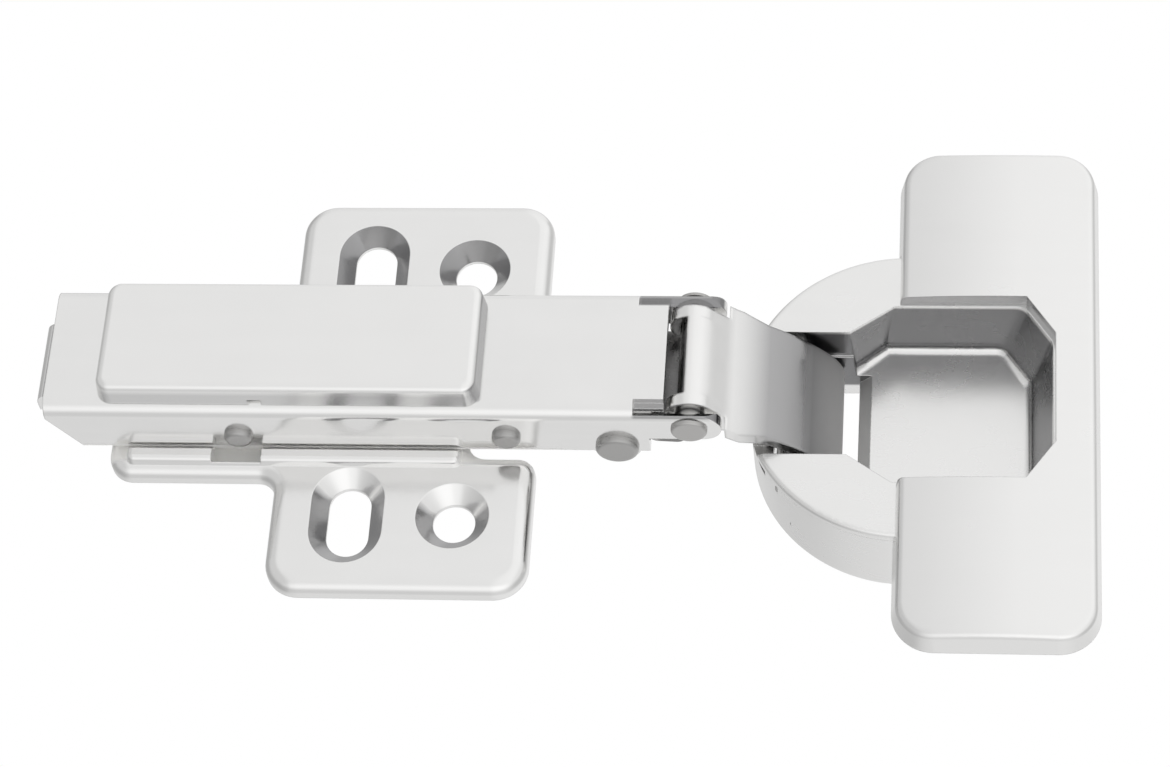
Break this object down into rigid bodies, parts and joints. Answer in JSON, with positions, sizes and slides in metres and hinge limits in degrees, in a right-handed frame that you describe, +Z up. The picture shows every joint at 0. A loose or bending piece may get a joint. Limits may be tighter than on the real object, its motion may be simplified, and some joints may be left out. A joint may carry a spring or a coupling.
{
  "type": "concealed cup hinge",
  "caption": "Clip-on concealed cabinet door hinge: folded arm with push-on cover, cross mounting plate, curved links and a round drilled-in cup with a wide rounded cover",
  "frame": {"origin": "midway between the mounting plate's two round screw holes, on the plate's seating face", "axes": "as fitted on a cabinet side: +Z up along the pivots, +X forward along the arm to the door, +Y into the cabinet side; the door stands open at 90 degrees"},
  "size_m": [0.1173, 0.024, 0.0628],
  "materials": {
    "nickel_sheet": "nickel-plated stamped steel, satin",
    "nickel_cap": "nickel-plated thin steel cap, satin",
    "nickel_casting": "nickel-plated casting, smooth satin",
    "steel_pin": "nickel-plated riveted pin",
    "screw_steel": "zinc-plated screw",
    "spring_steel": "dark tempered spring steel",
    "white_nylon": "moulded nylon"
  },
  "bodies": {
    "base": {"mounting_plate": "nickel_sheet", "clip_base": "nickel_sheet", "lever_pin": "steel_pin", "lever_spring": "spring_steel"},
    "lever": {"release_lever": "nickel_sheet"},
    "slider": {"slide_block": "nickel_casting", "guide_pin": "steel_pin"},
    "depth_screw": {"depth_screw": "screw_steel"},
    "arm": {"hinge_arm": "nickel_sheet", "arm_cover": "nickel_cap", "spring_pin": "steel_pin", "closing_spring": "spring_steel", "spring_slider": "white_nylon", "outer_arm_pin": "steel_pin", "inner_arm_pin": "steel_pin"},
    "overlay_screw": {"overlay_screw": "screw_steel"},
    "outer_link": {"outer_link": "nickel_sheet"},
    "inner_link": {"inner_link": "nickel_sheet"},
    "cup": {"hinge_cup": "nickel_casting", "cup_cover": "nickel_cap", "outer_cup_pin": "steel_pin", "inner_cup_pin": "steel_pin"}
  },
  "joints": [
    {"name": "lever_press", "type": "hinge", "parent": "base", "child": "lever", "pos_m": [-0.03245, -0.0057, 0], "axis": [0, 0, -1], "range_deg": [0, 12], "stiffness_Nm_per_rad": 0.05, "springref_deg": -8.59, "deforming": ["lever_spring"]},
    {"name": "depth_adjust", "type": "slide", "parent": "base", "child": "slider", "axis": [1, 0, 0], "range_m": [-0.002, 0.002]},
    {"name": "depth_screw_turn", "type": "hinge", "parent": "slider", "child": "depth_screw", "pos_m": [-0.01735, -0.0088, 0], "axis": [0, -1, 0], "range_deg": [-160, 160]},
    {"name": "overlay_adjust", "type": "hinge", "parent": "slider", "child": "arm", "pos_m": [-0.02405, -0.0056, 0], "axis": [0, 0, -1], "range_deg": [-1, 1.5]},
    {"name": "overlay_screw_turn", "type": "hinge", "parent": "slider", "child": "overlay_screw", "pos_m": [-0.00485, -0.008, 0], "axis": [0, -1, 0], "range_deg": [-230, 155]},
    {"name": "outer_link_pivot", "type": "hinge", "parent": "arm", "child": "outer_link", "pos_m": [0.02595, -0.0078, 0], "axis": [0, 0, -1], "range_deg": [-0.5, 7]},
    {"name": "inner_link_pivot", "type": "hinge", "parent": "arm", "child": "inner_link", "pos_m": [0.01785, -0.004, 0], "axis": [0, 0, -1], "range_deg": [-15, 1]},
    {"name": "cup_pivot", "type": "hinge", "parent": "outer_link", "child": "cup", "pos_m": [0.03763, 0.00601, 0], "axis": [0, 0, -1], "range_deg": [-4.6, 83.5]}
  ],
  "couplings": [
    {"joint": "outer_link_pivot", "follows": "cup_pivot", "ratio": 0.07797},
    {"joint": "inner_link_pivot", "follows": "cup_pivot", "ratio": -0.175},
    {"joint": "depth_screw_turn", "follows": "depth_adjust", "rad_per_m": 1380},
    {"joint": "overlay_screw_turn", "follows": "overlay_adjust", "ratio": -150.8}
  ]
}
